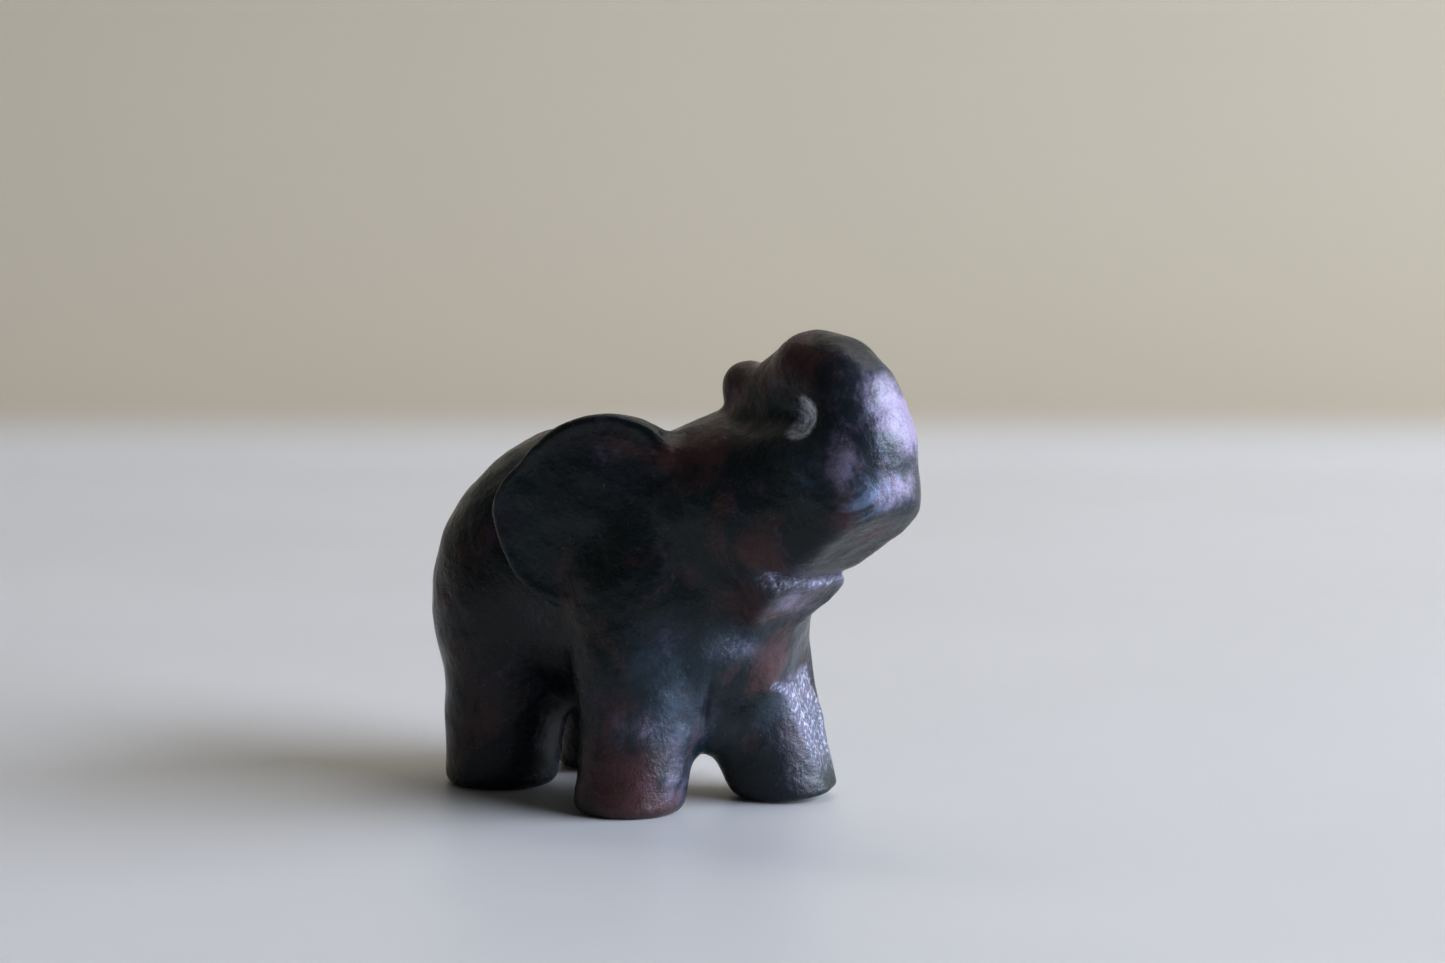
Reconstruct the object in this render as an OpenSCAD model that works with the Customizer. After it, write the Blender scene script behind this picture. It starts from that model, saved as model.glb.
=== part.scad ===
// Carved standing elephant with a raised trunk curled back on to its forehead.
// One block, cut and polished in one piece: nothing is glued, pinned or jointed.
// Millimetres, +Z up, +X towards the trunk, the near side is -Y.
// Origin: on the table top, under the middle of the figure.

/* [Overall] */
// Facets round each rounded mass
detail = 28; // [20:4:28]

/* [Body] */
// Width of the barrel across its widest point
body_w = 23.4; // [20:0.2:26]
// Height of the back above the table
back_h = 31; // [28:0.5:33]
// Height of the belly above the table
belly_h = 6.8; // [5.5:0.1:8]
// Distance the rump stands behind the rear legs
rump_reach = 7.3; // [5:0.1:9]

/* [Legs] */
// Distance from the rear legs to the front legs
wheelbase = 18.5; // [17:0.5:21]
// Distance between the left and right leg centres
track = 14; // [12.6:0.2:15]
// Diameter of a foot
foot_d = 9.8; // [8.8:0.1:10.4]
// How far the far front foot steps forward of the near one
step_ahead = 3; // [0:0.5:4]
// Small bevel round every sole
sole_bevel = 0.6; // [0.3:0.1:1]

/* [Head] */
// Width of the skull
head_w = 16.4; // [14:0.2:18]
// Height of the top of the skull
head_h = 35; // [33:0.5:36]
// Depth of the mouth crease
mouth_depth = 1.1; // [0.6:0.1:1.6]

/* [Ears] */
// Length of an ear from its root to its rear rim
ear_l = 15.2; // [12:0.2:16]
// Height of an ear
ear_h = 16.8; // [14:0.2:18]
// Thickness of an ear
ear_t = 2.2; // [1.6:0.1:3]
// Angle the ear flares out from the body
ear_flare = 21; // [15:1:26]

/* [Trunk] */
// Height of the top of the curled trunk
trunk_h = 42; // [40:0.5:44]
// Scale of the trunk thickness
trunk_k = 1; // [0.85:0.05:1.1]
// Diameter of the drilled hollow in the middle of the curl
pit_d = 3.2; // [2.4:0.1:3.6]
// Depth of that hollow on each side
pit_depth = 2.6; // [1.5:0.1:3]

/* [Tail] */
// Thickness of the tail, carved in relief on the rump
tail_d = 2.6; // [2:0.1:3.4]

/* [Hidden] */
stone = [0.16, 0.22, 0.21];
front_x = 0;
rear_x = front_x - wheelbase;
foot_r = foot_d / 2;
barrel_z = (back_h + belly_h) / 2;
barrel_r = (back_h - belly_h) / 2;
half_w = body_w / 2;
rise = trunk_h - 42;
// brings the middle of the overall length over the origin
middle_x = 1.25;
// soles: x, y of the near rear, far rear, near front and far front feet
soles = [
    [rear_x, -track / 2], [rear_x - 0.8, track / 2 - 0.6],
    [front_x - 0.4, -track / 2], [front_x - 0.4 + step_ahead, track / 2 + 0.6]
];
// trunk centre line: x, z, radius fore and aft, half width over that radius
curl = [
    [11, 26.6, 7.3, 0.86], [18.4, 29.2 + rise / 4, 6.6, 0.75], [19.7, 33 + rise / 2, 5.3, 0.8],
    [19.3, 36.3 + rise, 4.2, 0.84], [17.5, 38.2 + rise, 3.5, 0.92], [15.1, 38.5 + rise, 3.5, 0.96],
    [11.9, 37.3 + rise / 2, 2.8, 0.95], [9.1, 36.5, 2.2, 1], [6.95, 36.85, 2.3, 1]
];
// slope of the flat ground on the underside of the upper lip
lip_slope = 35.3;
// ear outline as shares of its length (root to rear) and height (bottom to top)
ear_outline = [
    [0, 0.36], [0, 0.72], [0.06, 0.88], [0.15, 0.97], [0.29, 1], [0.47, 0.96],
    [0.64, 0.88], [0.81, 0.75], [0.95, 0.62], [1, 0.48], [0.97, 0.35], [0.92, 0.23],
    [0.83, 0.11], [0.72, 0.04], [0.58, 0], [0.41, 0.01], [0.23, 0.07], [0.06, 0.17]
];

// an ellipsoid with its centre and its three radii
module mass(c, r) {
    translate(c) scale(r) sphere(r = 1, $fn = detail);
}

// the same ellipsoid leaned by a pitch angle about Y
module leaned(c, r, pitch) {
    translate(c) rotate([0, pitch, 0]) scale(r) sphere(r = 1, $fn = detail);
}

// a flat sole with a bevelled edge
module sole(at) {
    translate([at[0], at[1], 0])
        cylinder(h = sole_bevel, r1 = foot_r - sole_bevel, r2 = foot_r, $fn = detail);
}

// one leg: a thick column that swells into the muscle above it
module leg(at, muscle, r, lean) {
    hull() {
        sole(at);
        translate([at[0] + lean, at[1] * 0.97, 7.5])
            scale([1, 1, 0.7]) sphere(r = foot_r * 1.01, $fn = detail);
    }
    hull() {
        translate([at[0] + lean, at[1] * 0.97, 6.5])
            scale([1, 1, 0.6]) sphere(r = foot_r, $fn = detail);
        mass(muscle, r);
    }
}

module barrel() {
    hull() {
        mass([rear_x + 3, 0, barrel_z + 0.4], [rump_reach + 3.6, half_w, barrel_r + 0.2]);
        mass([rear_x + 10, 0, barrel_z], [9.5, half_w, barrel_r]);
        mass([front_x + 0.5, 0, barrel_z + 0.2], [8.2, half_w - 0.8, barrel_r - 0.2]);
    }
    // the two haunches make the rump broad and square
    hull() for (side = [-1, 1])
        mass([rear_x + 0.6, side * 5.6, 17], [rump_reach + 0.4, half_w - 4, 10.2]);
}

module legs() {
    for (side = [0, 1]) {
        y = side == 0 ? -1 : 1;
        leg(soles[side], [rear_x + 0.6, y * 6, 15], [6.8, 6.4, 9], 0.2);
        leg(soles[2 + side], [front_x - 0.8 + side * 1.8, y * 6.3 - side, 14.8],
            [6 - side * 0.8, 5.4 - side * 0.2, 8.6], -side * 0.6);
    }
}

module chest() {
    // chest, cheeks and throat
    hull() {
        mass([front_x + 1, 0, 16.5], [6.4, 6, 8.4]);
        for (side = [-1, 1])
            mass([front_x + 3.6, side * 3, 18.6], [5.6, 4.3, 6.4]);
        mass([front_x + 6, 0.4, 19], [4, 4, 4]);
    }
    // breast down to the brisket, low between the front legs
    hull() {
        mass([front_x + 4.6, 0.8, 13.4], [3.9, 4.2, 4.4]);
        mass([front_x + 0.4, 0.2, 9.4], [4.4, 4, 4.5]);
        mass([front_x - 1.5, 0, 14], [6, 7, 6]);
    }
    // fold between the brisket and the near leg
    mass([front_x + 0.2, -2.3, 8.3], [3.8, 2.6, 4.5]);
}

module skull() {
    hull() {
        leaned([front_x - 0.4, 0, head_h - 10.6], [8.6, head_w / 2 + 0.4, 8], -10);
        leaned([front_x + 6.2, 0, head_h - 8.2], [7, head_w / 2, 8.2], -10);
        mass([front_x + 12, 0, 25.6], [6.4, 6, 6]);
    }
    // face, running smoothly out into the root of the trunk
    hull() {
        mass([front_x + 6, 0, 26.4], [7.4, 7.6, 7.4]);
        mass([curl[1][0] - 0.4, 0, curl[1][1]], [6.2, 4.8, 6.2]);
    }
}

// short blunt lower jaw, wider than it is long
module jaw() {
    hull() {
        mass([front_x + 6.5, 0, 19], [4.6, 4.9, 4.5]);
        mass([front_x + 10.9, 0, 19.7], [2.5, 4.1, 2.5]);
        mass([front_x + 14.4, 0, 20.8], [1.5, 3.6, 1.2]);
    }
}

module trunk() {
    for (i = [0 : len(curl) - 2])
        hull() for (p = [curl[i], curl[i + 1]])
            translate([p[0], 0, p[1]])
                scale([1, p[3], 1]) sphere(r = p[2] * trunk_k, $fn = detail);
    // web that closes the curl against the forehead
    hull() {
        mass([12.4, 0, 34.8 + rise / 2], [6.2, 3.1, 3.5]);
        mass([9.2, 0, 34.8], [3.2, 2.4, 1.9]);
    }
}

// head and trunk, ground flat under the upper lip
module muzzle() {
    difference() {
        union() {
            skull();
            trunk();
        }
        translate([18.2, 0, 23.3]) rotate([0, -lip_slope, 0])
            translate([-7, -15, -20]) cube([40, 30, 20]);
    }
}

module ear(side) {
    root = [3.2, side * (head_w / 2 - 0.6), 18.4];
    translate(root) mirror([0, side > 0 ? 1 : 0, 0])
        rotate([0, 0, ear_flare])
            hull() for (p = ear_outline)
                translate([-p[0] * ear_l + ear_t / 2, 0, p[1] * (ear_h - ear_t) + ear_t / 2 - 0.3])
                    scale([ear_t / 2, ear_t / 2 * 0.9, ear_t / 2]) sphere(r = 1, $fn = 12);
    // root of the ear, blended back into the cheek and the neck
    hull() {
        mass([2, side * 6, 25.8], [5.4, 2.8, 7.4]);
        mass([-3, side * 8.4, 25.5], [4.5, 1.6, 6.4]);
    }
}

module tail() {
    bend = [[0.6, 0, 25], [-0.9, 0.3, 20], [-1, 0.9, 14], [-0.2, 1.4, 9.4]];
    for (i = [0 : len(bend) - 2])
        hull() for (p = [bend[i], bend[i + 1]])
            translate([rear_x - rump_reach + p[0] + 0.6, p[1], p[2]])
                sphere(r = tail_d / 2, $fn = 12);
}

// grooves and hollows cut with a rotary point after the masses are shaped
module cuts() {
    // mouth crease, across the front and a little way round both corners
    translate([17.2, 0, 21.9]) scale([2.7 / 6.4, 1, 0.34 * mouth_depth / 6.4 / 1.1])
        sphere(r = 6.4, $fn = 24);
    // oval hollow in the middle of the curl, both sides
    for (side = [-1, 1]) hull() for (end = [-0.9, 0.9]) {
        translate([17.2 + end, side * 5, 35.4 + rise / 2]) rotate([90, 0, 0])
            cylinder(h = 1, r = pit_d / 2 * 1.2, center = true, $fn = 16);
        translate([17.2 + end * 0.7, side * (4.2 - pit_depth * 0.8), 35.4 + rise / 2])
            rotate([90, 0, 0]) cylinder(h = 0.4, r = pit_d / 2 * 0.7, center = true, $fn = 16);
    }
    // keep everything above the table
    translate([0, 0, -5]) cube([90, 60, 10], center = true);
}

module elephant() {
    translate([middle_x, 0, 0]) color(stone) difference() {
        union() {
            barrel();
            legs();
            chest();
            muzzle();
            jaw();
            ear(-1);
            ear(1);
            tail();
        }
        cuts();
    }
}

elephant();
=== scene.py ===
import math

import bpy
import numpy as np
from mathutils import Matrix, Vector


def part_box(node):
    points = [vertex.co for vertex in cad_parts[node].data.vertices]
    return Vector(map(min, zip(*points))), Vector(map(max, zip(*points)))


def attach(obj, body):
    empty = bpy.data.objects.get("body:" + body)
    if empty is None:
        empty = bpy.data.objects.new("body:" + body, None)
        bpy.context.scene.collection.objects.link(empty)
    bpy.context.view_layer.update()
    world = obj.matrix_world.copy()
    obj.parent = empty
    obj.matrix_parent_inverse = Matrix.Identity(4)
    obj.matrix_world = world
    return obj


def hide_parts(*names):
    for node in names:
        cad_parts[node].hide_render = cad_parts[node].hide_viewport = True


# ---------------------------------------------------------------- the fixed frame
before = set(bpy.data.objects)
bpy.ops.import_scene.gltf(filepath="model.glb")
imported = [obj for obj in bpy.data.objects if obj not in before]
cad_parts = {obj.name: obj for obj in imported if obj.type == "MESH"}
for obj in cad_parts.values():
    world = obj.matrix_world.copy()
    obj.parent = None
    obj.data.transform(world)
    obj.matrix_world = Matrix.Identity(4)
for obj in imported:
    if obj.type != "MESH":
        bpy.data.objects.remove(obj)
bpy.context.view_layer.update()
low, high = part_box("elephant")
MM = 0.001
# the shape below is drawn in millimetres about the front feet; this moves it on to the CAD box
DRAWN_BEHIND = 1.25
SHIFT = ((low.x + high.x) / 2 / MM + DRAWN_BEHIND, (low.y + high.y) / 2 / MM, low.z / MM)
# millimetres: grid step of the distance field, and the grid's reach in x, y and z
VOXEL = 0.24
REACH = ((-29, 27), (-15.5, 15.5), (-1.2, 44))

# ---------------------------------------------------------------- distance fields, numpy only
F = np.float32


def smin(a, b, k):
    h = np.clip(0.5 + 0.5 * (b - a) / k, 0, 1)
    return b + (a - b) * h - k * h * (1 - h)


def smax(a, b, k):
    return -smin(-a, -b, k)


def norm(x, y, z):
    return np.sqrt(x * x + y * y + z * z)


def blob(x, y, z, c, r):
    """ellipsoid"""
    x, y, z = x - F(c[0]), y - F(c[1]), z - F(c[2])
    a, b, e = F(r[0]), F(r[1]), F(r[2])
    k0 = norm(x / a, y / b, z / e)
    k1 = norm(x / a**2, y / b**2, z / e**2)
    return k0 * (k0 - 1) / np.maximum(k1, F(1e-6))


def rod(x, y, z, a, b, ra, rb, wa=1.0, wb=None, n=2.0):
    """tapered rod from a to b. w narrows the section across y, n above 2 squares it."""
    wb = wa if wb is None else wb
    ab = np.array(b, F) - np.array(a, F)
    qx, qy, qz = x - F(a[0]), y - F(a[1]), z - F(a[2])
    t = np.clip((qx * ab[0] + qy * ab[1] + qz * ab[2]) / F(ab @ ab), 0, 1)
    qx, qy, qz = qx - t * ab[0], qy - t * ab[1], qz - t * ab[2]
    r = F(ra) + F(rb - ra) * t
    w = F(wa) + F(wb - wa) * t
    flat = np.sqrt(qx * qx + qz * qz)
    side = np.abs(qy) / w
    if n == 2.0:
        return np.sqrt(flat * flat + side * side) - r
    return (flat**F(n) + side**F(n)) ** F(1 / n) - r


def lump(x, y, z, seed, size, count=14):
    """slow smooth unevenness, -1 to 1, from a few seeded waves"""
    rng = np.random.default_rng(seed)
    out = 0
    for _ in range(count):
        d = rng.normal(size=3)
        d *= 2 * math.pi / (size * rng.uniform(0.7, 1.5) * np.linalg.norm(d))
        out = out + np.sin(x * F(d[0]) + y * F(d[1]) + z * F(d[2]) + F(rng.uniform(0, 6.28)))
    return out / F(math.sqrt(count) * 1.2)


# centre line of the trunk: x, z, radius fore and aft, half width over radius
CURL = [
    (11.0, 26.6, 7.3, 0.86), (18.4, 29.2, 6.6, 0.75), (19.7, 33.0, 5.3, 0.80),
    (19.3, 36.3, 4.2, 0.84), (17.5, 38.2, 3.5, 0.92), (15.1, 38.5, 3.5, 0.96),
    (11.9, 37.3, 2.8, 0.95), (9.1, 36.5, 2.2, 1.0), (6.95, 36.85, 2.3, 1.0),
]
# ear: rim points as distance from its root and height above the table
EAR = [
    (-1.6, 24.0), (-1.7, 30.5), (-0.7, 33.0), (0.8, 34.1), (2.6, 34.6), (4.8, 34.7), (7.4, 34.0),
    (10.0, 32.7), (12.7, 30.4), (14.8, 28.3), (15.6, 26.0), (15.1, 23.8), (14.3, 21.9),
    (12.9, 19.9), (11.2, 18.6), (9.0, 18.0), (6.4, 18.2), (3.6, 19.2), (0.6, 20.8),
]
EAR_ROOT, EAR_TURN = (3.2, 7.6), math.radians(21)


def closed_curve(points, steps=6):
    """smooth closed line through the points"""
    p = np.array(points, float)
    a, b, c, d = (np.roll(p, s, 0) for s in (1, 0, -1, -2))
    out = []
    for t in np.arange(steps) / steps:
        out.append(0.5 * (2 * b + (c - a) * t + (2 * a - 5 * b + 4 * c - d) * t**2
                          + (3 * b - a - 3 * c + d) * t**3))
    return np.stack(out, 1).reshape(-1, 2)


def outline_distance(u, w, line):
    """signed distance to a closed line, negative inside"""
    best = np.full(u.shape, 1e9, F)
    inside = np.zeros(u.shape, bool)
    for (x0, y0), (x1, y1) in zip(line, np.roll(line, -1, 0)):
        ex, ey = F(x1 - x0), F(y1 - y0)
        px, py = u - F(x0), w - F(y0)
        t = np.clip((px * ex + py * ey) / (ex * ex + ey * ey), 0, 1)
        best = np.minimum(best, (px - t * ex) ** 2 + (py - t * ey) ** 2)
        over = (F(y0) <= w) != (F(y1) <= w)
        if over.any():
            cross = px - (w - F(y0)) * (ex / ey if abs(ey) > 1e-9 else F(0)) < 0
            inside ^= over & cross
    return np.where(inside, -1, 1) * np.sqrt(best)


def ear(x, s, z):
    """thin plate leaning out from the cheek, crisp at the rear rim and undercut behind it"""
    ca, sa = F(math.cos(EAR_TURN)), F(math.sin(EAR_TURN))
    dx, dy = x - F(EAR_ROOT[0]), s - F(EAR_ROOT[1])
    u = -dx * ca + dy * sa
    v = dx * sa + dy * ca
    near = (np.abs(v) < 4) & (u > -5) & (u < 19) & (z > 14) & (z < 39)
    d = np.full(x.shape, 6, F)
    un, vn, zn = u[near], v[near], z[near]
    o = outline_distance(un, zn, EAR_LINE)
    # the plate dishes gently and rolls outwards at the rim
    vn = vn + 0.006 * (un - 7) ** 2 + 0.004 * (zn - 26) ** 2 - 0.5
    thick = F(0.85) + F(0.16) * np.exp(-((o + F(0.55)) / F(0.5)) ** 2)
    d[near] = smax(o, np.abs(vn) - thick, 0.5)
    return d


EAR_LINE = closed_curve(EAR)


# legs: top, foot, radius at the top, radius below the foot, blend with the body
LEGS = [
    ((-17.9, -6.3, 13), (-18.7, -7.0, 0), 6.0, 4.6, 1.4),
    ((-18.2, 6.2, 13), (-19.2, 6.6, 0), 6.0, 4.7, 1.4),
    ((-0.4, -5.5, 12), (-0.9, -7.2, 0), 5.3, 4.5, 2.0),
    ((0.1, 4.2, 14), (3.5, 7.9, 0), 6.4, 3.75, 2.2),
]


def front_facet(x, y, z):
    """flat ground face down the front of the far front leg"""
    return (F(0.9135) * x + F(0.4067) * y + F(0.27) * (z - 12) - F(7.7)) / F(1.036)


MOUTH_Z, MOUTH_CURVE, MOUTH_WIDTH = 21.3, 0.02, 0.5


def mouth_line(x, y, z):
    """1 along the mouth, fading above and below it and round its corners"""
    rise = (z - F(MOUTH_Z) - F(MOUTH_CURVE) * y * y) / F(MOUTH_WIDTH)
    return np.exp(-rise * rise) * np.clip((x - F(12.8)) / F(1.6), 0, 1)


def leg_crease(x, y, z):
    """1 along the fold between the brisket and the near front leg"""
    across = (F(0.485) * x + F(0.874) * y + F(0.027) * z + F(0.24)) / F(0.3)
    return np.exp(-across * across - ((z - 10) / F(2.8)) ** 2) * np.clip(x - 2, 0, 1)


def body(x, y, z):
    s = np.abs(y)
    bx = np.maximum(np.abs(x + F(8.2)) - F(6.0), 0)
    d = norm(bx, y * F(1.05), z - F(18.9)) - F(12.1)
    d = smin(d, blob(x, y, z, (-15.8, 0, 19.5), (10.9, 11.6, 12.3)), 2)
    d = smin(d, blob(x, s, z, (-18.1, 5.4, 16.7), (7.9, 7.5, 10.7)), 2)
    # chest and brisket
    d = smin(d, blob(x, y, z, (1.0, 0, 16.5), (6.4, 6.0, 8.4)), 1.4)
    d = smin(d, rod(x, y, z, (6.0, 0.4, 19.0), (4.6, 0.8, 12.6), 3.9, 3.7, 1.0), 1.8)
    d = smin(d, blob(x, s, z, (3.9, 3.0, 19.8), (5.4, 4.2, 5.3)), 1.2)
    d = smin(d, blob(x, y, z, (0.4, 0.2, 8.8), (4.2, 4.0, 4.4)), 1.8)
    d = smin(d, blob(x, y, z, (0.0, -2.3, 8.7), (3.6, 2.5, 4.3)), 1.0)
    # shoulders, a little proud of the body
    d = smin(d, blob(x, y, z, (-0.8, -6.3, 14.6), (6.0, 5.4, 8.6)), 0.9)
    d = smin(d, blob(x, y, z, (-1.2, 6.1, 14.8), (6.0, 5.3, 8.6)), 0.9)
    for a, b, ra, rb, k in LEGS:
        b = tuple(q + (q - p) * 0.35 for p, q in zip(a, b))
        leg = rod(x, y, z, a, b, ra, rb)
        if a == LEGS[-1][0]:
            leg = smax(leg, front_facet(x, y, z), 0.2)
        d = smin(d, leg, k)
    return d


def head(x, y, z):
    h = rod(x, y, z, (-0.6, 0, 24.4), (6.6, 0, 26.9), 8.3, 8.2, 1.02, 1.0)
    h = smin(h, rod(x, y, z, (6, 0, 26.4), (17.4, 0, 28.9), 7.7, 6.4, 1.0, 0.78, 2.5), 1.0)
    t = None
    for a, b in zip(CURL[:-1], CURL[1:]):
        squareness = 2.6 if a[1] < 32 else 2.15
        c = rod(x, y, z, (a[0], 0, a[1]), (b[0], 0, b[1]), a[2], b[2], a[3], b[3], squareness)
        t = c if t is None else smin(t, c, 1.2)
    h = smin(h, t, 1.4)
    # web left between the curl and the forehead
    h = smin(h, blob(x, y, z, (12.4, 0, 34.8), (6.4, 3.2, 3.6)), 1.2)
    h = smin(h, blob(x, y, z, (9.2, 0, 34.8), (3.2, 2.4, 1.9)), 0.8)
    # flat ground on the underside of the upper lip
    h = smax(h, (x - F(18.2)) * F(0.578) - (z - F(23.05)) * F(0.816), 1.0)
    # lower jaw: a blunt wedge whose flat front carries on the slope of the upper lip
    jaw = rod(x, y, z, (6.0, 0, 19.3), (13.0, 0, 20.7), 4.6, 3.4, 1.05, 1.25, 2.5)
    jaw = smax(jaw, (x - F(11.0) - (z - 17) * F(1.08)) * F(0.679), 0.4)
    return smin(h, jaw, 0.6)


# centre line of the tail, down the rump
TAIL = [(-25.2, 0.2, 24.5), (-26.3, 0.5, 19.5), (-26.1, 1.1, 14.0), (-25.0, 1.7, 9.6)]


def tail(x, y, z):
    d = None
    for a, b in zip(TAIL[:-1], TAIL[1:]):
        c = rod(x, y, z, a, b, 1.25, 1.15)
        d = c if d is None else smin(d, c, 0.5)
    return d


def curl_pit(x, y, z):
    """oval pit in the middle of the curl, on both sides"""
    return blob(x, np.abs(y), z, (17.2, 4.9, 35.4), (2.3, 2.2, 1.6))


MOUTH_DEPTH, CREASE_DEPTH = 0.4, 0.25
# hand-worked unevenness: depth, seed, size of the waves
HAND_WORK = [(0.08, 5, 9.0), (0.045, 8, 3.2), (0.014, 11, 1.3)]


def elephant(x, y, z):
    s = np.abs(y)
    d = smin(body(x, y, z), head(x, y, z), 1.1)
    root = np.clip((x + F(5)) / F(7), 0, 1)
    d = smin(d, ear(x, s, z), F(0.4) + F(1.9) * root * root)
    d = smin(d, tail(x, y, z), 0.5)
    # ground line where the ear top meets the head
    d = smax(d, -rod(x, s, z, (3.2, 6.4, 34.6), (4.4, 8.8, 30.6), 0.2, 0.1), 0.4)
    d = smax(d, -curl_pit(x, y, z), 0.5)
    # shallow grooves that follow the surface: mouth, and the fold beside the near front leg
    d = d + F(MOUTH_DEPTH) * mouth_line(x, y, z) + F(CREASE_DEPTH) * leg_crease(x, y, z)
    # the front edge of the far front foot is worn upwards
    out = F(0.669) * x + F(0.743) * y - F(8.3)
    d = smax(d, (F(0.22) * out - z) / F(1.024), 0.5)
    # slow hand-worked unevenness
    for depth, seed, size in HAND_WORK:
        d = d + F(depth) * lump(x, y, z, seed, size)
    return smax(d, -z, 1.1)


def surface(field, axes):
    """surface nets: one vertex in every cell the surface crosses, quads round every crossed edge"""
    s = field < 0
    h = float(axes[0][1] - axes[0][0])
    origin = np.array([a[0] for a in axes], float)
    shape = tuple(n - 1 for n in s.shape)
    count = np.zeros(shape, np.int8)
    corners = [(i, j, k) for i in (0, 1) for j in (0, 1) for k in (0, 1)]
    for i, j, k in corners:
        count += s[i:i + shape[0], j:j + shape[1], k:k + shape[2]]
    active = (count > 0) & (count < 8)
    index = -np.ones(shape, np.int64)
    cells = np.argwhere(active)
    index[active] = np.arange(len(cells))
    total, hits = np.zeros((len(cells), 3)), np.zeros(len(cells))
    for a in corners:
        for axis in range(3):
            if a[axis]:
                continue
            b = list(a)
            b[axis] = 1
            da = field[cells[:, 0] + a[0], cells[:, 1] + a[1], cells[:, 2] + a[2]]
            db = field[cells[:, 0] + b[0], cells[:, 1] + b[1], cells[:, 2] + b[2]]
            m = (da < 0) != (db < 0)
            t = np.where(m, da / np.where(m, da - db, 1), 0)
            point = np.repeat(np.array(a, float)[None], len(cells), 0)
            point[:, axis] += t
            total += point * m[:, None]
            hits += m
    verts = (cells + total / hits[:, None]) * h + origin
    quads = []
    for axis, (u, v) in enumerate(((1, 2), (2, 0), (0, 1))):
        first, second = [slice(1, -1)] * 3, [slice(1, -1)] * 3
        first[axis], second[axis] = slice(0, -1), slice(1, None)
        a, b = s[tuple(first)], s[tuple(second)]
        cross = np.argwhere(a != b)
        off = np.ones(3, int)
        off[axis] = 0
        e = cross + off
        flip = a[tuple(cross.T)]
        ring = []
        for du, dv in ((1, 1), (0, 1), (0, 0), (1, 0)):
            q = e.copy()
            q[:, u] -= du
            q[:, v] -= dv
            ring.append(index[q[:, 0], q[:, 1], q[:, 2]])
        ring = np.stack(ring, 1)
        ring[~flip] = ring[~flip][:, ::-1]
        quads.append(ring)
    return verts, np.concatenate(quads)


def settle(v, rounds=2):
    """moves the vertices on to the exact surface, along its slope"""
    e = F(0.05)
    for _ in range(rounds):
        x, y, z = (v[:, i].astype(F) for i in range(3))
        d = elephant(x, y, z)
        g = np.stack([
            elephant(x + e, y, z) - elephant(x - e, y, z),
            elephant(x, y + e, z) - elephant(x, y - e, z),
            elephant(x, y, z + e) - elephant(x, y, z - e),
        ], 1) / (2 * e)
        g2 = np.maximum((g * g).sum(1), 0.2)
        v = v - np.clip(d / g2, -0.2, 0.2)[:, None] * g
    return v


def carve():
    axes = [np.arange(a, b, VOXEL, dtype=F) for a, b in REACH]
    x, y, z = np.meshgrid(*axes, indexing="ij")
    field = elephant(x, y, z)
    v, quads = surface(field, axes)
    v = settle(v)
    v[:, 2] = np.maximum(v[:, 2], 0)
    return v, quads


# ---------------------------------------------------------------- the mesh
verts, quads = carve()
x, y, z = (verts[:, i].astype(F) for i in range(3))


def spots(places):
    """soft patches: centre, reach and strength of each"""
    out = np.zeros(len(x), F)
    for c, r, k in places:
        q = ((x - c[0]) / r[0]) ** 2 + ((y - c[1]) / r[1]) ** 2 + ((z - c[2]) / r[2]) ** 2
        out = np.maximum(out, k * np.exp(-q))
    return out


# warm, reddish parts of the block
warm = spots([
    ((1.5, -10.5, 2.5), (6, 5, 3.5), 1.0), ((14, -3.5, 40), (5, 4, 4), 1.3),
    ((7, -1, 37.5), (3, 4, 3), 2.4), ((7.5, -5, 32), (4, 4, 3), 0.9),
    ((8.5, 1.3, 12.5), (2.6, 2.6, 4.5), 1.2), ((5, 3, 5.5), (3, 3, 3), 0.7),
    ((14.5, -5.5, 23.6), (4, 3, 1.8), 0.9), ((23, -2, 27.5), (3, 4, 1.8), 0.5),
    ((12, -2, 19), (3, 5, 2.4), 0.9),
    ((-20, -9, 10), (5, 5, 5), 0.4), ((10, -6.5, 28.5), (3.5, 3, 3), 0.5),
])
# clouded lilac and blue-grey parts of the stone; the strong patches on the front of the trunk and on the far
# front leg's flat face are painted light, standing in for the window light on those faces
lilac_and_light = spots([
    ((24.4, 0.4, 35), (3, 5, 4.5), 1.0), ((23, -3.8, 31.8), (2, 2.6, 3), 1.0),
    ((24, -0.5, 29.8), (3, 5, 2.6), 0.9), ((22.5, -1, 38.5), (3, 4, 3), 0.8),
    ((4.6, -5.5, 9.5), (3.4, 3, 3.6), 0.45), ((5.5, -8.2, 15.7), (2.4, 2.4, 2), 0.2),
    ((3.5, -9.5, 7.6), (2.6, 3, 1.6), 0.3), ((9, -4, 15), (2.2, 2.6, 1.6), 0.3),
    ((15, 0, 21), (4, 6, 1.4), 0.6), ((13.4, -1.5, 19.4), (2.4, 4, 2.0), 0.45),
    ((4.2, -5.5, 3.5), (2.5, 2.5, 4), 0.3), ((8.4, 5.6, 8.5), (1.8, 3.0, 6), 1.15),
    ((-0.3, -10, 31.7), (3, 3, 3), 0.15),
])
# faint blue haze over the front legs, the breast, the side of the trunk and the near rear leg's inner edge:
# blue-grey clouding of the stone together with a painted blue sheen where window light catches these faces
blue_haze_and_sheen = spots([
    ((4.4, -6.0, 9.5), (3.0, 3.0, 4.0), 1.0), ((5.0, -8.4, 14.0), (3.0, 2.4, 3.0), 0.8),
    ((9, -4, 15), (3, 3, 2), 0.6), ((19.5, -5.4, 31.0), (2.6, 2.6, 3.0), 1.0),
    ((6.0, 3.5, 8.5), (2.4, 2.4, 3.0), 0.5),
    ((-15.6, -4.2, 4.5), (1.6, 1.6, 4.0), 1.0),
])
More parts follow.
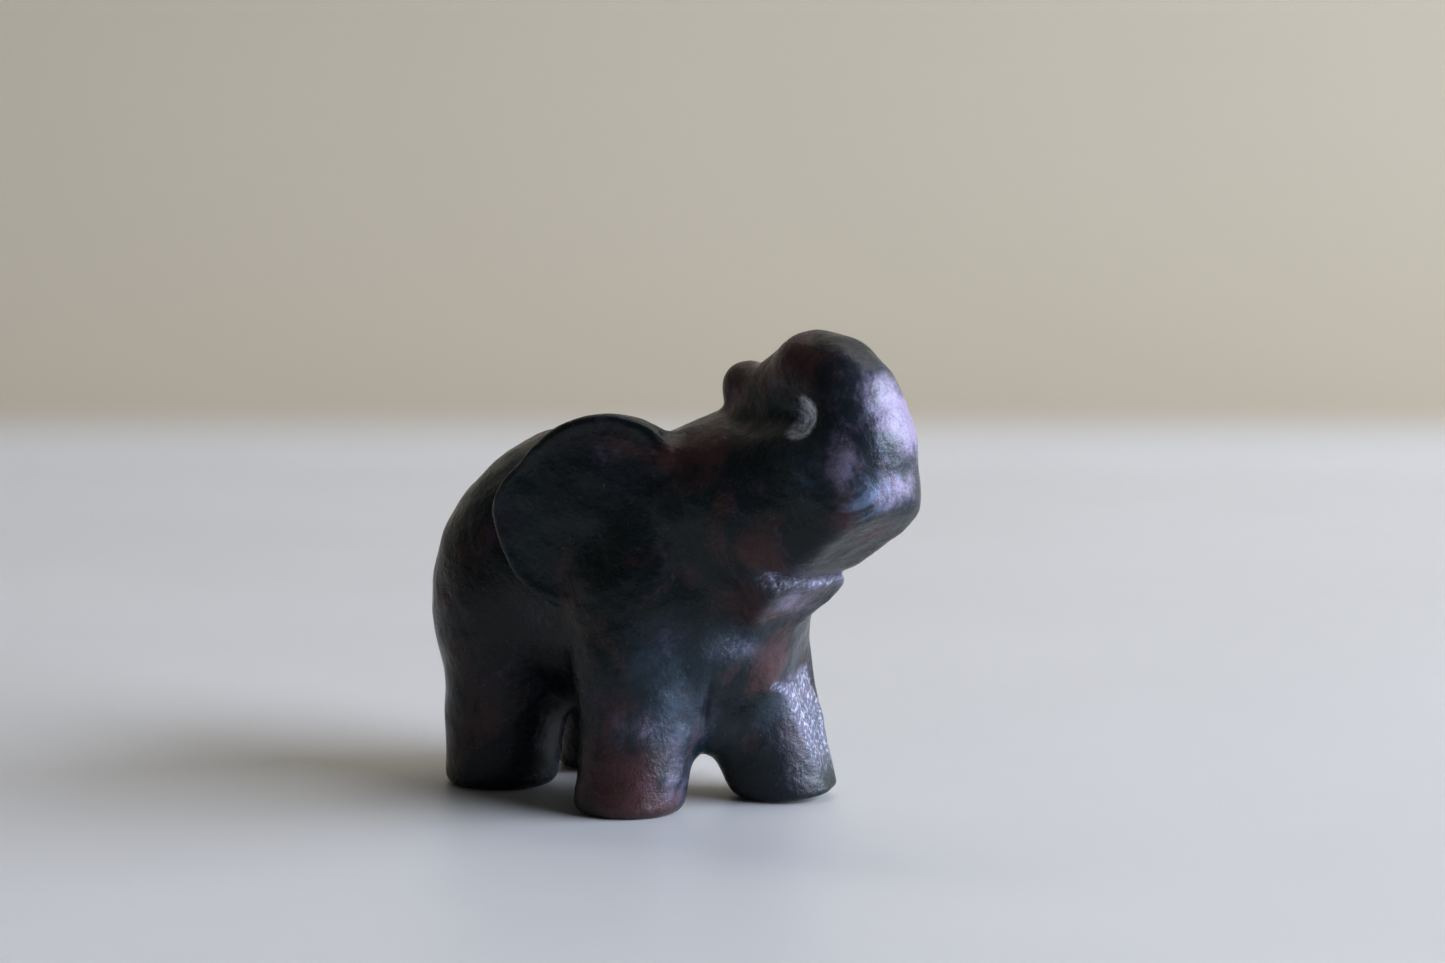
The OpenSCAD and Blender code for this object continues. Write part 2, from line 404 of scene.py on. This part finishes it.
# unpolished, ground places: the pit, the mouth, the far front leg's flat face, touches on breast and near leg
facet_edge = np.clip(1 - np.abs(front_facet(x, y, z)) / F(0.35), 0, 1) * (y > 1.5) * (z < 16.5) * (x > 5)
pit = np.clip(1 - curl_pit(x, y, z) / F(0.4), 0, 1)
# painted highlight: the forward part of that pit, painted near-white where window light would glint in it
hollow = pit * np.clip((x - 16.0) / 1.3 - (z - 35.4) * 0.3, 0, 1)
ground = np.maximum.reduce([
    # the pit is frosted, most strongly under its painted highlight
    pit * (0.12 + 0.88 * hollow),
    0.32 * np.clip(mouth_line(x, y, z + F(0.3)) * F(1.5), 0, 1),
    0.5 * np.clip(facet_edge * 2, 0, 1) * np.clip((z - 2) / 3, 0, 1),
    spots([((9, -4, 15), (1.6, 2.0, 1.1), 0.15), ((4.0, -8.6, 8.0), (1.2, 1.6, 1.0), 0.1),
           ((14.3, -4.2, 21.4), (0.8, 0.8, 0.8), 1.0)]),
])
world = (verts + np.array(SHIFT)) * MM
mesh = bpy.data.meshes.new("elephant_stone")
mesh.from_pydata(world.tolist(), [], quads.tolist())
mesh.update()
mesh.polygons.foreach_set("use_smooth", np.ones(len(mesh.polygons), bool))
for name, values in (("ground", ground), ("hollow", hollow), ("warm", warm), ("lilac_and_light", lilac_and_light), ("blue_haze_and_sheen", blue_haze_and_sheen)):
    layer = mesh.attributes.new(name, "FLOAT", "POINT")
    layer.data.foreach_set("value", values.astype(F))
carving = bpy.data.objects.new("elephant_carving", mesh)
bpy.context.scene.collection.objects.link(carving)


# ---------------------------------------------------------------- materials
class Shader:
    """small helper for node trees"""

    def __init__(self, name):
        self.mat = bpy.data.materials.new(name)
        self.mat.use_nodes = True
        self.tree = self.mat.node_tree
        self.bsdf = self.tree.nodes["Principled BSDF"]

    def node(self, kind, **settings):
        n = self.tree.nodes.new(kind)
        for k, v in settings.items():
            if hasattr(n, k):
                setattr(n, k, v)
        return n

    def link(self, a, b):
        self.tree.links.new(a, b)

    def attr(self, name):
        return self.node("ShaderNodeAttribute", attribute_name=name).outputs["Fac"]

    def math(self, op, a, b=0.0, clamp=False):
        n = self.node("ShaderNodeMath", operation=op, use_clamp=clamp)
        for i, value in enumerate((a, b)):
            if isinstance(value, (int, float)):
                n.inputs[i].default_value = value
            else:
                self.link(value, n.inputs[i])
        return n.outputs[0]

    def noise(self, where, scale, detail=4.0, rough=0.55, distort=0.0):
        n = self.node("ShaderNodeTexNoise")
        n.inputs["Scale"].default_value = scale
        n.inputs["Detail"].default_value = detail
        n.inputs["Roughness"].default_value = rough
        n.inputs["Distortion"].default_value = distort
        self.link(where, n.inputs["Vector"])
        return n.outputs["Fac"]

    def ramp(self, value, lo, hi, out_lo=0.0, out_hi=1.0):
        n = self.node("ShaderNodeMapRange", interpolation_type="SMOOTHSTEP")
        self.link(value, n.inputs["Value"])
        for key, v in (("From Min", lo), ("From Max", hi), ("To Min", out_lo), ("To Max", out_hi)):
            n.inputs[key].default_value = v
        return n.outputs["Result"]

    def mix(self, fac, a, b):
        n = self.node("ShaderNodeMix", data_type="RGBA")
        self.link(fac, n.inputs[0])
        for i, value in ((6, a), (7, b)):
            if isinstance(value, tuple):
                n.inputs[i].default_value = (*value, 1)
            else:
                self.link(value, n.inputs[i])
        return n.outputs[2]


# colours in the stone
GREEN_BLACK, DEEP_GREEN = (0.0021, 0.0070, 0.0082), (0.0048, 0.0160, 0.0165)
BLUE_BLACK, GREY_GREEN = (0.0045, 0.0070, 0.0180), (0.011, 0.021, 0.026)
# the blue haze colour is partly a painted sheen of window light
RED_BROWN, BLUE_HAZE_AND_SHEEN = (0.066, 0.0260, 0.0270), (0.030, 0.055, 0.085)
# grey, pale blue and bright lilac: stone colours, pushed brighter to paint window light on the faces turned
# to it
CLOUD_GREY_AND_LIGHT, PALE_BLUE_AND_LIGHT = (0.050, 0.055, 0.078), (0.24, 0.33, 0.50)
DULL_LILAC, BRIGHT_LILAC_AND_LIGHT = (0.105, 0.085, 0.125), (0.255, 0.215, 0.315)
# crystal specks, and the near-white painted highlight for the forward part of the curl pit
CRYSTAL, PAINTED_PIT_GLINT = (0.10, 0.085, 0.105), (0.92, 0.95, 1.0)
# frosted ground, and the painted glints of window light on it
GROUND_DULL, GROUND_PAINTED_GLINT = (0.16, 0.155, 0.235), (0.80, 0.85, 1.0)
RELIEF = 0.0004


def stone_material():
    s = Shader("polished_stone")
    where = s.node("ShaderNodeTexCoord").outputs["Object"]
    # clouds: dark green and blue-black, with red-brown and mauve patches; the mauve, the grey and the blue
    # bloom are laid on brighter where window light falls, as painted light
    cloud = s.noise(where, 80, 6, 0.62, 0.6)
    drift = s.noise(where, 150, 8, 0.66, 0.4)
    patch = s.noise(where, 110, 8, 0.68, 0.9)
    mottle = s.noise(where, 420, 8, 0.7, 0.3)
    fine = s.noise(where, 900, 6, 0.7)
    grains = s.noise(where, 2200, 3, 0.6)
    along = s.node("ShaderNodeVectorMath", operation="MULTIPLY")
    along.inputs[1].default_value = (1, 1, 0.65)
    s.link(where, along.inputs[0])
    sparks = s.noise(along.outputs[0], 3600, 3, 0.6)
    base = s.mix(s.ramp(cloud, 0.40, 0.62), GREEN_BLACK, DEEP_GREEN)
    base = s.mix(s.ramp(drift, 0.48, 0.66), base, BLUE_BLACK)
    base = s.mix(s.ramp(mottle, 0.52, 0.74, 0, 0.6), base, GREY_GREEN)
    warm = s.math("ADD", patch, s.math("MULTIPLY", s.attr("warm"), 0.24))
    warm = s.math("ADD", warm, s.math("MULTIPLY", s.math("SUBTRACT", mottle, 0.5), 0.35))
    base = s.mix(s.ramp(warm, 0.52, 0.74, 0, 0.9), base, RED_BROWN)
    # painted highlight in part: blue haze of the stone with a painted blue sheen of window light
    haze_and_sheen_weight = s.math("MULTIPLY", s.attr("blue_haze_and_sheen"), s.ramp(mottle, 0.35, 0.62, 0.2, 1.0), clamp=True)
    base = s.mix(haze_and_sheen_weight, base, BLUE_HAZE_AND_SHEEN)
    # painted light: the grey and lilac are laid on brightest where the window lights the front of the trunk
    # and the far front leg's flat face
    base = s.mix(s.math("MULTIPLY", s.attr("lilac_and_light"), 0.7, clamp=True), base, CLOUD_GREY_AND_LIGHT)
    mauve_and_light = s.math("ADD", drift, s.math("MULTIPLY", s.attr("lilac_and_light"), 0.31))
    mauve_and_light = s.math("ADD", mauve_and_light, s.math("MULTIPLY", s.math("SUBTRACT", mottle, 0.5), 0.5))
    lilac_and_light_weight = s.math("MULTIPLY", s.attr("lilac_and_light"), 1.4, clamp=True)
    lilac_and_light_colour = s.mix(lilac_and_light_weight, DULL_LILAC, BRIGHT_LILAC_AND_LIGHT)
    base = s.mix(s.ramp(mauve_and_light, 0.58, 0.84, 0, 0.9), base, lilac_and_light_colour)
    # crystals, and a light blue-grey bloom inside the lilac patches, which on the front of the trunk and the
    # far front leg's flat face is painted light
    bloom_and_light = s.math("MULTIPLY", s.ramp(s.noise(where, 190, 7, 0.7, 0.8), 0.54, 0.70), s.attr("lilac_and_light"))
    base = s.mix(s.math("MULTIPLY", bloom_and_light, 0.7, clamp=True), base, PALE_BLUE_AND_LIGHT)
    speck = s.math("MULTIPLY", s.ramp(grains, 0.58, 0.70), s.ramp(fine, 0.50, 0.66))
    base = s.mix(s.math("MULTIPLY", speck, 0.45), base, CRYSTAL)
    # unpolished places are frosted: dark mauve ground with bright broken grains, which are painted glints of
    # window light
    ground = s.math("MULTIPLY", s.attr("ground"), s.ramp(fine, 0.28, 0.55, 0.45, 1.0), clamp=True)
    painted_glint = s.ramp(s.math("ADD", sparks, s.math("MULTIPLY", grains, 0.7)), 0.80, 1.10)
    frost_and_glint = s.mix(painted_glint, GROUND_DULL, GROUND_PAINTED_GLINT)
    base = s.mix(ground, base, frost_and_glint)
    # painted highlight: near-white broken grains in the forward part of the curl pit
    pit_glint_weight = s.math("MULTIPLY", s.attr("hollow"), s.ramp(grains, 0.38, 0.54, 0.4, 1.0), clamp=True)
    base = s.mix(pit_glint_weight, base, PAINTED_PIT_GLINT)
    s.link(base, s.bsdf.inputs["Base Color"])
    rough = s.ramp(s.noise(where, 300, 6, 0.65), 0.3, 0.75, 0.17, 0.36)
    rough = s.math("ADD", rough, s.math("MULTIPLY", speck, 0.10))
    rough = s.math("ADD", rough, s.math("MULTIPLY", ground, 0.12), clamp=True)
    s.link(rough, s.bsdf.inputs["Roughness"])
    s.bsdf.inputs["IOR"].default_value = 1.42
    s.bsdf.inputs["Coat Weight"].default_value = 0.08
    s.bsdf.inputs["Coat Roughness"].default_value = 0.12
    # polish that isn't quite flat, then coarse bite in the ground places
    bump = s.node("ShaderNodeBump")
    bump.inputs["Strength"].default_value = 0.52
    bump.inputs["Distance"].default_value = RELIEF
    s.link(s.math("ADD", s.noise(where, 420, 6, 0.62), s.math("MULTIPLY", fine, 0.6)), bump.inputs["Height"])
    bite = s.node("ShaderNodeBump")
    bite.inputs["Distance"].default_value = RELIEF
    s.link(s.math("ADD", s.math("MULTIPLY", ground, 0.9), 0.04), bite.inputs["Strength"])
    s.link(s.math("ADD", fine, s.math("MULTIPLY", grains, 0.8)), bite.inputs["Height"])
    s.link(bump.outputs[0], bite.inputs["Normal"])
    s.link(bite.outputs[0], s.bsdf.inputs["Normal"])
    return s.mat


mesh.materials.append(stone_material())
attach(carving, "root")
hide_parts("elephant")

# ---------------------------------------------------------------- floor, wall, light, camera
VIEW_TURN, VIEW_TILT = math.radians(48), math.radians(6.4)
back = Vector((math.sin(VIEW_TURN), -math.cos(VIEW_TURN), 0))
right = Vector((math.cos(VIEW_TURN), math.sin(VIEW_TURN), 0))
up = Vector((0, 0, 1))
middle = Vector(((low.x + high.x) / 2, (low.y + high.y) / 2, (low.z + high.z) / 2))


TABLE_COLOURS = (0.62, 0.61, 0.60), (0.64, 0.63, 0.62)
WALL_COLOURS = (0.435, 0.385, 0.295), (0.455, 0.40, 0.31)
# the table lies this little below the soles
CLEAR = 0.00002


def sweep():
    """a light-toned table that curves up into a plain wall behind"""
    flat, bend, tall, wide, near = 0.26, 0.16, 1.2, 3.0, -2.0
    line = [(near, 0.0), (flat, 0.0)]
    turns = np.linspace(0.05, math.pi / 2, 40)
    line += [(flat + bend * math.sin(a), bend * (1 - math.cos(a))) for a in turns]
    line.append((flat + bend, tall))
    points, faces = [], []
    for far, height in line:
        for side in (-wide, wide):
            points.append(tuple(-back * far + right * side + up * (low.z + height - CLEAR)))
    for i in range(len(line) - 1):
        faces.append((2 * i, 2 * i + 1, 2 * i + 3, 2 * i + 2))
    m = bpy.data.meshes.new("sweep")
    m.from_pydata(points, [], faces)
    m.polygons.foreach_set("use_smooth", [True] * len(m.polygons))
    s = Shader("table_and_wall")
    where = s.node("ShaderNodeTexCoord").outputs["Object"]
    split = s.node("ShaderNodeSeparateXYZ")
    s.link(where, split.inputs[0])
    climb = s.ramp(split.outputs["Z"], -0.0004, 0.007)
    table = s.mix(s.ramp(s.noise(where, 14, 4), 0.3, 0.7), *TABLE_COLOURS)
    wall = s.mix(s.ramp(s.noise(where, 3, 2), 0.3, 0.7), *WALL_COLOURS)
    s.link(s.mix(climb, table, wall), s.bsdf.inputs["Base Color"])
    s.link(s.ramp(climb, 0, 1, 0.42, 0.9), s.bsdf.inputs["Roughness"])
    m.materials.append(s.mat)
    o = bpy.data.objects.new("sweep", m)
    bpy.context.scene.collection.objects.link(o)


sweep()


def soft_light(name, place, size, power, color):
    d = bpy.data.lights.new(name, "AREA")
    d.shape, d.size, d.size_y, d.energy, d.color = "RECTANGLE", size[0], size[1], power, color
    o = bpy.data.objects.new(name, d)
    o.location = middle + place
    o.rotation_euler = (middle - o.location).to_track_quat("-Z", "Y").to_euler()
    bpy.context.scene.collection.objects.link(o)


soft_light("window", right * 1.30 + back * 0.38 + up * 0.48, (1.5, 1.0), 62.0, (0.76, 0.84, 1.0))
soft_light("top", up * 0.85 - back * 0.45 + right * 0.1, (0.8, 0.5), 4.4, (1.0, 0.95, 0.88))
soft_light("fill", -right * 0.6 + back * 0.8 + up * 0.7, (1.1, 0.9), 0.1, (1.0, 0.97, 0.93))
room = bpy.data.worlds.new("room")
room.use_nodes = True
room_light = room.node_tree.nodes["Background"].inputs
room_light["Color"].default_value = (0.9, 0.94, 1.0, 1)
room_light["Strength"].default_value = 0.075
bpy.context.scene.world = room
# plain contrast without the filmic tone curve, a little darker in the shadows
bpy.context.scene.view_settings.view_transform = "Standard"
bpy.context.scene.view_settings.gamma = 0.85

# millimetres of lens and sensor, and metres from the middle of the carving, above the table
LENS, SENSOR = 60, 22.3
EYE = Vector((0.25245, -0.2231, 0.0659))
cam_data = bpy.data.cameras.new("camera")
cam_data.lens, cam_data.sensor_width = LENS, SENSOR
cam_data.clip_start, cam_data.clip_end = 0.01, 20
cam = bpy.data.objects.new("camera", cam_data)
look = -(back * math.cos(VIEW_TILT) + up * math.sin(VIEW_TILT))
cam.location = EYE + middle - Vector((0, 0, middle.z))
cam.rotation_euler = look.to_track_quat("-Z", "Y").to_euler()
bpy.context.scene.collection.objects.link(cam)
bpy.context.scene.camera = cam
